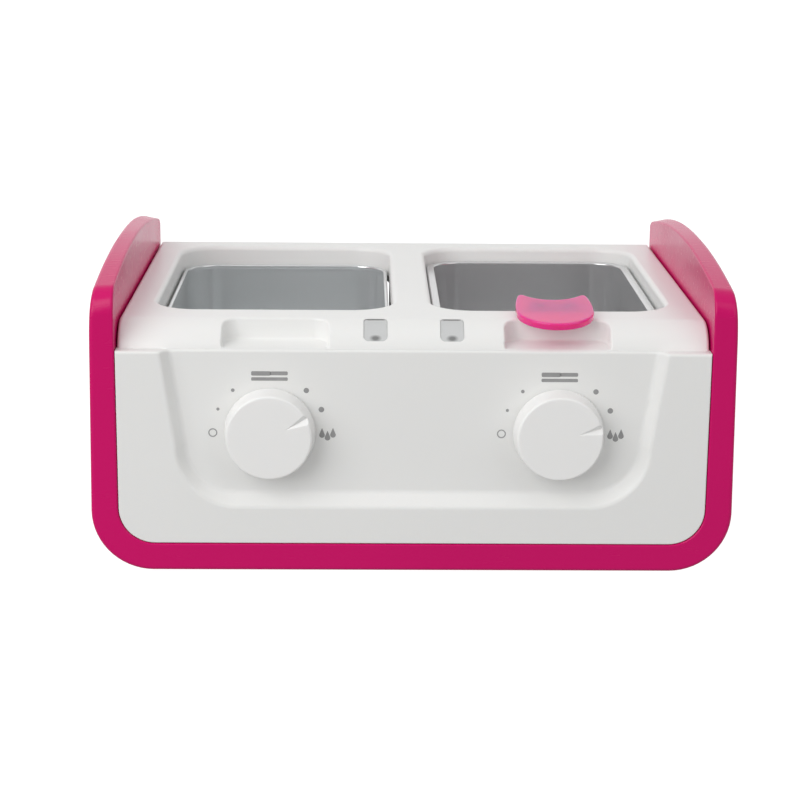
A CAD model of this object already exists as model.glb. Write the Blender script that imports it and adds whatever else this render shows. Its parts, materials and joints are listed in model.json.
import json
import math

import bmesh
import bpy
from mathutils import Matrix, Vector


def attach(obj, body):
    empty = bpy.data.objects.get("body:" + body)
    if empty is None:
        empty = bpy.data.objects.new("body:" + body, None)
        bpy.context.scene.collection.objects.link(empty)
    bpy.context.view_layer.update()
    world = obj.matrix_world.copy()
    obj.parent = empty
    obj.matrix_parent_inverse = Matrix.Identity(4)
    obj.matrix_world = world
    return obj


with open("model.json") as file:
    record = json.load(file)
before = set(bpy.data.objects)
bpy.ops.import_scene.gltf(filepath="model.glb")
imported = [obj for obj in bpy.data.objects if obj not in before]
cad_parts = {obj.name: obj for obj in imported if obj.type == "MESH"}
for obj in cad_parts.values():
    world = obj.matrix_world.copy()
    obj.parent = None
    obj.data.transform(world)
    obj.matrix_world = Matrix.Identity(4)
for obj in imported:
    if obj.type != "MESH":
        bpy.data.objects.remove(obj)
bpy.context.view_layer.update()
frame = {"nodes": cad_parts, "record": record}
nodes = frame["nodes"]
MM = 0.001
F = -97.35                 # y of the frame's front plane, mm
B = 2.0                    # z of the frame's underside, mm
FLOOR_Y = F + 4.5          # y of the panel's recess floor, mm
DIALS = (("left", -60.4, 61.85), ("right", 61.3, 61.85))      # centres of the printed symbols, mm
WORLD_LOW, WORLD_FRONT, WORLD_BACK, WORLD_TOP = 0.42, 0.35, 0.92, 0.66

# ----------------------------------------------------------------------
# camera
# ----------------------------------------------------------------------
scene = bpy.context.scene
scene.view_settings.view_transform = "Standard"
scene.view_settings.look = "None"
scene.view_settings.exposure = 0.0
scene.view_settings.gamma = 1.0

yaw, pitch, roll = math.radians(1.047), math.radians(14.384), math.radians(0.535)
fwd = Vector((math.sin(yaw) * math.cos(pitch), math.cos(yaw) * math.cos(pitch), -math.sin(pitch)))
right0 = Vector((math.cos(yaw), -math.sin(yaw), 0.0))
up0 = right0.cross(fwd)
right = right0 * math.cos(roll) + up0 * math.sin(roll)
up = up0 * math.cos(roll) - right0 * math.sin(roll)
cam_data = bpy.data.cameras.new("camera")
cam_data.sensor_width = 36.0
cam_data.lens = 91.83
cam_data.clip_start = 0.01
cam_data.clip_end = 60.0
cam = bpy.data.objects.new("camera", cam_data)
scene.collection.objects.link(cam)
cam.matrix_world = Matrix(((right.x, up.x, -fwd.x, -0.02084),
                           (right.y, up.y, -fwd.y, -0.92323),
                           (right.z, up.z, -fwd.z, 0.28927),
                           (0.0, 0.0, 0.0, 1.0)))
scene.camera = cam

# ----------------------------------------------------------------------
# light and floor
# ----------------------------------------------------------------------
world = bpy.data.worlds.new("studio")
scene.world = world
world.use_nodes = True
wt = world.node_tree
bg = wt.nodes["Background"]
bg.inputs["Strength"].default_value = 1.0
# a white sweep: brightest behind and overhead, dimmer in front
wc = wt.nodes.new("ShaderNodeTexCoord")
ws = wt.nodes.new("ShaderNodeSeparateXYZ")
wt.links.new(wc.outputs["Generated"], ws.inputs["Vector"])


def world_range(socket, a, b, lo, hi):
    wr = wt.nodes.new("ShaderNodeMapRange")
    wr.inputs["From Min"].default_value = a
    wr.inputs["From Max"].default_value = b
    wt.links.new(ws.outputs[socket], wr.inputs["Value"])
    for name, v in (("To Min", lo), ("To Max", hi)):
        if isinstance(v, float):
            wr.inputs[name].default_value = v
        else:
            wt.links.new(v, wr.inputs[name])
    return wr.outputs["Result"]


near = world_range("Z", -0.10, 0.05, WORLD_LOW, WORLD_FRONT)
around = world_range("Y", 0.1, 0.8, near, WORLD_BACK)
wt.links.new(world_range("Z", 0.60, 0.95, around, WORLD_TOP), bg.inputs["Strength"])
bg.inputs["Color"].default_value = (1.0, 1.0, 1.0, 1.0)


def area(name, place, target, size, power, color=(1, 1, 1), size_y=None):
    data = bpy.data.lights.new(name, "AREA")
    data.energy = power
    data.color = color
    data.shape = "RECTANGLE" if size_y else "SQUARE"
    data.size = size
    if size_y:
        data.size_y = size_y
    ob = bpy.data.objects.new(name, data)
    scene.collection.objects.link(ob)
    ob.location = place
    aim = Vector(target) - Vector(place)
    ob.rotation_euler = aim.to_track_quat("-Z", "Y").to_euler()
    return ob


area("key_light", (-1.0, -1.1, 0.85), (0.0, 0.0, 0.05), 1.4, 16.1)
area("fill_light", (1.1, -1.0, 0.9), (0.0, 0.0, 0.06), 1.2, 3.8)
area("front_top_light", (0.0, -0.75, 1.35), (0.0, 0.0, 0.08), 1.2, 0.6)


def link(tree, a, b):
    tree.links.new(a, b)


floor_mat = bpy.data.materials.new("floor_white")
floor_mat.use_nodes = True
ft = floor_mat.node_tree
fb = ft.nodes["Principled BSDF"]
fb.inputs["Base Color"].default_value = (0.20, 0.20, 0.20, 1)
fb.inputs["Roughness"].default_value = 0.9
fb.inputs["Specular IOR Level"].default_value = 0.1
fb.inputs["Emission Color"].default_value = (1, 1, 1, 1)
fb.inputs["Emission Strength"].default_value = 1.0
bm = bmesh.new()
bmesh.ops.create_grid(bm, x_segments=2, y_segments=2, size=12.5)
me = bpy.data.meshes.new("floor")
bm.to_mesh(me)
bm.free()
floor = bpy.data.objects.new("floor", me)
scene.collection.objects.link(floor)
me.materials.append(floor_mat)
floor.visible_diffuse = False
floor.visible_glossy = False

# a plain white wall far off, all round, that only the camera sees
WALL_R, WALL_H, WALL_N = 12.0, 12.0, 64
wall_v, wall_f = [], []
for i in range(WALL_N):
    a = 2.0 * math.pi * i / WALL_N
    wall_v += [(WALL_R * math.cos(a), WALL_R * math.sin(a), 0.0), (WALL_R * math.cos(a), WALL_R * math.sin(a), WALL_H)]
for i in range(WALL_N):
    j = (i + 1) % WALL_N
    wall_f.append((2 * i, 2 * i + 1, 2 * j + 1, 2 * j))
wall_f.append(tuple(2 * i + 1 for i in range(WALL_N)))
me = bpy.data.meshes.new("wall")
me.from_pydata(wall_v, [], wall_f)
me.update()
wall = bpy.data.objects.new("wall", me)
scene.collection.objects.link(wall)
wall_mat = bpy.data.materials.new("wall_white")
wall_mat.use_nodes = True
wall_p = wall_mat.node_tree.nodes["Principled BSDF"]
wall_p.inputs["Base Color"].default_value = (0.0, 0.0, 0.0, 1.0)
wall_p.inputs["Specular IOR Level"].default_value = 0.0
wall_p.inputs["Emission Color"].default_value = (1.0, 1.0, 1.0, 1.0)
wall_p.inputs["Emission Strength"].default_value = 1.2
wall_mat.cycles.emission_sampling = "NONE"
me.materials.append(wall_mat)
wall.visible_diffuse = False
wall.visible_glossy = False
wall.visible_transmission = False
wall.visible_volume_scatter = False
wall.visible_shadow = False


# ----------------------------------------------------------------------
# materials
# ----------------------------------------------------------------------
class Shader:
    """A Principled material with helpers for its procedural parts."""

    def __init__(self, name, base, rough, metallic=0.0, specular=0.5, coat=0.0, coat_rough=0.05):
        self.mat = bpy.data.materials.new(name)
        self.mat.use_nodes = True
        self.t = self.mat.node_tree
        self.p = self.t.nodes["Principled BSDF"]
        self.base = base
        self.rough = rough
        self.p.inputs["Base Color"].default_value = (*base, 1.0)
        self.p.inputs["Roughness"].default_value = rough
        self.p.inputs["Metallic"].default_value = metallic
        self.p.inputs["Specular IOR Level"].default_value = specular
        if coat:
            self.p.inputs["Coat Weight"].default_value = coat
            self.p.inputs["Coat Roughness"].default_value = coat_rough
        self.coord = self.t.nodes.new("ShaderNodeTexCoord").outputs["Object"]
        self.heights = []

    def mapped(self, scale=(1, 1, 1), rotate=(0, 0, 0)):
        m = self.t.nodes.new("ShaderNodeMapping")
        m.inputs["Scale"].default_value = scale
        m.inputs["Rotation"].default_value = rotate
        link(self.t, self.coord, m.inputs["Vector"])
        return m.outputs["Vector"]

    def noise(self, scale, detail=3.0, rough=0.5, vector=None, lo=0.0, hi=1.0, distort=0.0):
        n = self.t.nodes.new("ShaderNodeTexNoise")
        n.inputs["Scale"].default_value = scale
        n.inputs["Detail"].default_value = detail
        n.inputs["Roughness"].default_value = rough
        n.inputs["Distortion"].default_value = distort
        link(self.t, vector if vector is not None else self.coord, n.inputs["Vector"])
        return self.remap(n.outputs["Fac"], 0.25, 0.75, lo, hi)

    def voronoi(self, scale, vector=None, feature="F1"):
        n = self.t.nodes.new("ShaderNodeTexVoronoi")
        n.feature = feature
        n.inputs["Scale"].default_value = scale
        link(self.t, vector if vector is not None else self.coord, n.inputs["Vector"])
        return n.outputs["Distance"]

    def remap(self, value, a, b, lo, hi):
        m = self.t.nodes.new("ShaderNodeMapRange")
        m.inputs["From Min"].default_value = a
        m.inputs["From Max"].default_value = b
        m.inputs["To Min"].default_value = lo
        m.inputs["To Max"].default_value = hi
        link(self.t, value, m.inputs["Value"])
        return m.outputs["Result"]

    def math(self, op, a, b):
        m = self.t.nodes.new("ShaderNodeMath")
        m.operation = op
        for i, v in enumerate((a, b)):
            if isinstance(v, (int, float)):
                m.inputs[i].default_value = v
            else:
                link(self.t, v, m.inputs[i])
        return m.outputs["Value"]

    def tint(self, fac, other):
        """Base colour runs from base to other with fac."""
        m = self.t.nodes.new("ShaderNodeMix")
        m.data_type = "RGBA"
        sock = self.p.inputs["Base Color"]
        if sock.is_linked:
            link(self.t, sock.links[0].from_socket, m.inputs["A"])
        else:
            m.inputs["A"].default_value = (*self.base, 1.0)
        m.inputs["B"].default_value = (*other, 1.0)
        link(self.t, fac, m.inputs["Factor"])
        link(self.t, m.outputs["Result"], sock)

    def roughness(self, value):
        sock = self.p.inputs["Roughness"]
        if sock.is_linked:
            value = self.math("ADD", sock.links[0].from_socket, value)
        else:
            value = self.math("ADD", self.rough, value)
        link(self.t, value, sock)

    def bump(self, height, distance, strength=1.0):
        b = self.t.nodes.new("ShaderNodeBump")
        b.inputs["Strength"].default_value = strength
        b.inputs["Distance"].default_value = distance
        link(self.t, height, b.inputs["Height"])
        sock = self.p.inputs["Normal"]
        if sock.is_linked:
            link(self.t, sock.links[0].from_socket, b.inputs["Normal"])
        link(self.t, b.outputs["Normal"], sock)


def white_plastic(name, base, rough, grain=1.0):
    s = Shader(name, base, rough, specular=0.45)
    s.p.inputs["Subsurface Weight"].default_value = 0.06
    s.p.inputs["Subsurface Radius"].default_value = (0.0016, 0.0014, 0.0012)
    s.p.inputs["Subsurface Scale"].default_value = 1.0
    # slow drift of tone and of gloss from the moulding
    s.tint(s.noise(9.0, 2.0, 0.5, lo=0.0, hi=0.6), tuple(c * 0.975 for c in base))
    s.roughness(s.noise(22.0, 4.0, 0.55, lo=-0.035, hi=0.035))
    # spark-eroded mould grain
    s.bump(s.noise(1500.0, 2.0, 0.6), 0.00002 * grain, 0.35)
    s.bump(s.noise(5200.0, 1.0, 0.5), 0.000008 * grain, 0.3)
    # faint handling marks
    marks = s.noise(70.0, 6.0, 0.7, vector=s.mapped((1.0, 1.0, 3.5), (0.3, 0.2, 0.7)), lo=0.0, hi=1.0)
    s.roughness(s.remap(marks, 0.72, 0.95, 0.0, 0.10))
    return s


def magenta_plastic(name, base, rough, coat=0.0, specular=0.25):
    s = Shader(name, base, rough, specular=specular, coat=coat, coat_rough=0.06)
    s.tint(s.noise(7.0, 3.0, 0.5, lo=0.0, hi=0.8), tuple(c * 0.90 for c in base))
    s.roughness(s.noise(30.0, 5.0, 0.6, lo=-0.03, hi=0.05))
    s.bump(s.noise(55.0, 2.0, 0.5), 0.00010, 0.18)      # slow mould waviness
    s.bump(s.noise(1800.0, 2.0, 0.5), 0.000012, 0.25)
    fine = s.noise(260.0, 3.0, 0.6, vector=s.mapped((0.25, 6.0, 1.0), (0.4, 0.0, 0.5)))
    s.roughness(s.remap(fine, 0.78, 0.95, 0.0, 0.12))
    return s


def metal(name, base, rough, streak=(40.0, 40.0, 1400.0), amount=0.10, bump=0.00001, tint=0.88, metallic=1.0):
    s = Shader(name, base, rough, metallic=metallic)
    lines = s.noise(1.0, 4.0, 0.65, vector=s.mapped(streak))
    s.roughness(s.remap(lines, 0.0, 1.0, -amount, amount))
    s.tint(s.noise(24.0, 4.0, 0.6, lo=0.0, hi=1.0), tuple(c * tint for c in base))
    if bump:
        s.bump(lines, bump, 0.5)
    return s


def dull(name, base, rough, scale=600.0, depth=0.00004, specular=0.4, metallic=0.0):
    s = Shader(name, base, rough, specular=specular, metallic=metallic)
    s.tint(s.noise(scale * 0.08, 4.0, 0.6, lo=0.0, hi=1.0), tuple(c * 0.82 for c in base))
    s.roughness(s.noise(scale * 0.2, 3.0, 0.5, lo=-0.06, hi=0.06))
    s.bump(s.noise(scale, 3.0, 0.6), depth, 0.5)
    return s


MAGENTA = (0.675, 0.0018, 0.146)
M = {
    "cover": white_plastic("white_cover", (0.90, 0.90, 0.885), 0.34),
    "panel": white_plastic("white_panel", (0.885, 0.885, 0.87), 0.36),
    "knob": white_plastic("white_knob", (0.945, 0.94, 0.925), 0.30, 0.6),
    "rear": white_plastic("white_rear", (0.80, 0.80, 0.785), 0.46, 1.6),
    "frame": magenta_plastic("magenta_frame", MAGENTA, 0.22),
    "frame_cover": magenta_plastic("magenta_rear", (0.58, 0.003, 0.13), 0.42),
    "grip": magenta_plastic("magenta_grip", (0.92, 0.03, 0.26), 0.14, 0.5, 0.40),
    "feet": dull("black_rubber", (0.022, 0.022, 0.023), 0.72, 1500.0, 0.00006, 0.3),
    "bushing": dull("black_bushing", (0.025, 0.025, 0.026), 0.5, 1200.0, 0.00003, 0.4),
    "screws": metal("zinc_screw", (0.52, 0.53, 0.54), 0.34, (900.0, 900.0, 900.0), 0.10, 0.000008),
    "chamber": metal("anodised_chamber", (0.80, 0.82, 0.825), 0.19, (9.0, 9.0, 9.0), 0.003, 0.0, 0.99, 0.75),
    "tank": metal("drawn_tank", (0.72, 0.725, 0.73), 0.20, (9.0, 9.0, 9.0), 0.003, 0.0, 0.99, 0.8),
    "strap": metal("steel_strap", (0.58, 0.58, 0.57), 0.26, (30.0, 1500.0, 1500.0), 0.08, 0.00001),
    "rivets": metal("rivet", (0.62, 0.62, 0.61), 0.25, (700.0, 700.0, 700.0), 0.08, 0.000006),
    "spindle": metal("spindle_steel", (0.55, 0.55, 0.55), 0.30, (900.0, 80.0, 900.0)),
    "nuts": metal("brass_nut", (0.64, 0.50, 0.24), 0.30, (700.0, 90.0, 700.0)),
    "copper": metal("copper_bulb", (0.62, 0.34, 0.22), 0.32, (60.0, 900.0, 900.0)),
    "clips": metal("spring_clip", (0.48, 0.48, 0.48), 0.32, (90.0, 900.0, 900.0)),
    "steel_plate": metal("zinc_plate", (0.46, 0.47, 0.48), 0.42, (30.0, 900.0, 30.0), 0.08, 0.000008, 0.8),
    "heater": dull("mica_board", (0.36, 0.31, 0.24), 0.6, 260.0, 0.00008),
    "standoffs": metal("standoff", (0.58, 0.58, 0.58), 0.30, (700.0, 700.0, 90.0)),
    "fuses": dull("fuse_sleeve", (0.55, 0.54, 0.46), 0.6, 900.0),
    "inner_plastic": dull("natural_nylon", (0.66, 0.63, 0.54), 0.5, 800.0),
    "terminal": dull("terminal_polyamide", (0.60, 0.60, 0.55), 0.5, 800.0),
}
M["knob"].p.inputs["Subsurface Weight"].default_value = 0.20
M["knob"].p.inputs["Subsurface Radius"].default_value = (0.0020, 0.0019, 0.0018)
M["grip"].p.inputs["Subsurface Weight"].default_value = 0.9
M["grip"].p.inputs["Subsurface Radius"].default_value = (0.020, 0.0016, 0.006)
M["grip"].p.inputs["Subsurface Scale"].default_value = 1.0
# pilot windows: clear grey, a little prismatic
w = Shader("pilot_lens", (0.90, 0.91, 0.91), 0.10, specular=0.5)
w.p.inputs["Transmission Weight"].default_value = 0.36
w.p.inputs["IOR"].default_value = 1.49
w.roughness(w.noise(300.0, 3.0, 0.5, lo=-0.04, hi=0.08))
w.bump(w.noise(420.0, 2.0, 0.5), 0.00006, 0.4)
# the shadow line under the window's upper edge, and the lamp's dark foot low in the middle
wx = w.t.nodes.new("ShaderNodeSeparateXYZ")
w.t.links.new(w.mapped(), wx.inputs["Vector"])
across = w.math("SUBTRACT", w.math("ABSOLUTE", wx.outputs["X"], 0.0), 0.0161)
across = w.math("ABSOLUTE", across, 0.0)
along = w.math("MULTIPLY", w.math("ADD", wx.outputs["Y"], 0.0893), 2.6)
reach = w.math("ADD", w.math("MULTIPLY", across, across), w.math("MULTIPLY", along, along))
foot = w.remap(w.math("SQRT", reach, 0.0), 0.0010, 0.0028, 1.0, 0.0)
edge = w.math("MULTIPLY", w.remap(across, 0.0032, 0.0040, 1.0, 0.0), w.remap(wx.outputs["Y"], -0.08055, -0.08020, 0.0, 1.0))
w.tint(w.math("MAXIMUM", w.math("MULTIPLY", foot, 0.72), w.math("MULTIPLY", edge, 0.75)), (0.10, 0.10, 0.10))
M["window"] = w
g = Shader("neon_glass", (0.85, 0.62, 0.48), 0.08, specular=0.5)
g.p.inputs["Transmission Weight"].default_value = 0.8
g.p.inputs["IOR"].default_value = 1.5
g.roughness(g.noise(500.0, 2.0, 0.5, lo=-0.02, hi=0.05))
M["lamp"] = g
ink = dull("grey_ink", (0.36, 0.36, 0.36), 0.5, 2500.0, 0.000006, 0.35)

slots = {s["node"]: s["material_slot"] for s in frame["record"]["subparts"]}
for n, o in nodes.items():
    o.data.materials.clear()
    o.data.materials.append(M[slots[n]].mat)

# ----------------------------------------------------------------------
# printed symbols round the knobs
# ----------------------------------------------------------------------
INK_T = 0.05               # mm, thickness of the print


def slab(name, loops, body, material, y_front, thick=INK_T, holes=()):
    """Flat raised print on the recess floor: outlines in x, z (mm)."""
    bm = bmesh.new()
    for loop in loops:
        front = [bm.verts.new((x * MM, (y_front - thick) * MM, z * MM)) for x, z in loop]
        back = [bm.verts.new((x * MM, (y_front + 0.01) * MM, z * MM)) for x, z in loop]
        bm.faces.new(front)
        bm.faces.new(list(reversed(back)))
        n = len(loop)
        for i in range(n):
            j = (i + 1) % n
            bm.faces.new((front[j], front[i], back[i], back[j]))
    bmesh.ops.recalc_face_normals(bm, faces=bm.faces)
    me = bpy.data.meshes.new(name)
    bm.to_mesh(me)
    bm.free()
    ob = bpy.data.objects.new(name, me)
    scene.collection.objects.link(ob)
    me.materials.append(material.mat)
    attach(ob, body)
    return ob


def disc(cx, cz, r, n=28):
    return [(cx + r * math.cos(2 * math.pi * i / n), cz + r * math.sin(2 * math.pi * i / n)) for i in range(n)]


def arc_band(cx, cz, r0, r1, a0, a1, n=20):
    out = []
    for i in range(n + 1):
        a = math.radians(a0 + (a1 - a0) * i / n)
        out.append((cx + r1 * math.cos(a), cz + r1 * math.sin(a)))
    for i in range(n, -1, -1):
        a = math.radians(a0 + (a1 - a0) * i / n)
        out.append((cx + r0 * math.cos(a), cz + r0 * math.sin(a)))
    return out


def drop(cx, cz, wide, high, n=22):
    """Teardrop, point up."""
    r = wide / 2
    zc = cz - high / 2 + r
    tip = cz + high / 2
    ang = math.acos(min(1.0, r / (tip - zc)))
    out = []
    for i in range(n + 1):
        a = math.pi / 2 - ang - (2 * math.pi - 2 * ang) * i / n
        out.append((cx + r * math.cos(a), zc + r * math.sin(a)))
    out.append((cx, tip))
    return out


def rounded(x0, x1, z0, z1, r, n=4):
    out = []
    for cx, cz, a0 in ((x1 - r, z1 - r, 0), (x0 + r, z1 - r, 90), (x0 + r, z0 + r, 180), (x1 - r, z0 + r, 270)):
        for i in range(n + 1):
            a = math.radians(a0 + 90 * i / n)
            out.append((cx + r * math.cos(a), cz + r * math.sin(a)))
    return out


IR = 23.96
for tag, cx, cz in DIALS:

    def at(deg, r=IR):
        return cx + r * math.cos(math.radians(deg)), cz + r * math.sin(math.radians(deg))

    for i, (deg, r) in enumerate(((155, 0.66), (130, 0.76), (50, 1.14), (25, 1.18))):
        x, z = at(deg)
        slab("%s_dot_%d" % (tag, i), [disc(x, z, r)], "housing", ink, FLOOR_Y)
    x, z = cx - 24.0, cz - 0.13
    slab(tag + "_off_ring", [arc_band(x, z, 1.42, 1.88, 0, 180), arc_band(x, z, 1.42, 1.88, 180, 360)], "housing", ink, FLOOR_Y)
    slab(tag + "_low_bar_top", [rounded(cx - 7.65, cx + 0.5, cz + 24.68, cz + 26.58, 0.5),
                                rounded(cx + 0.2, cx + 7.65, cz + 24.87, cz + 26.50, 0.5)], "housing", ink, FLOOR_Y)
    slab(tag + "_low_bar_under", [rounded(cx - 7.65, cx + 7.65, cz + 22.51, cz + 23.95, 0.4)], "housing", ink, FLOOR_Y)
    for i, (dx, dz) in enumerate(((21.98, -0.05), (24.3, -1.2), (26.6, 0.05))):
        slab("%s_drop_%d" % (tag, i), [drop(cx + dx, cz + dz, 2.35, 4.3)], "housing", ink, FLOOR_Y)
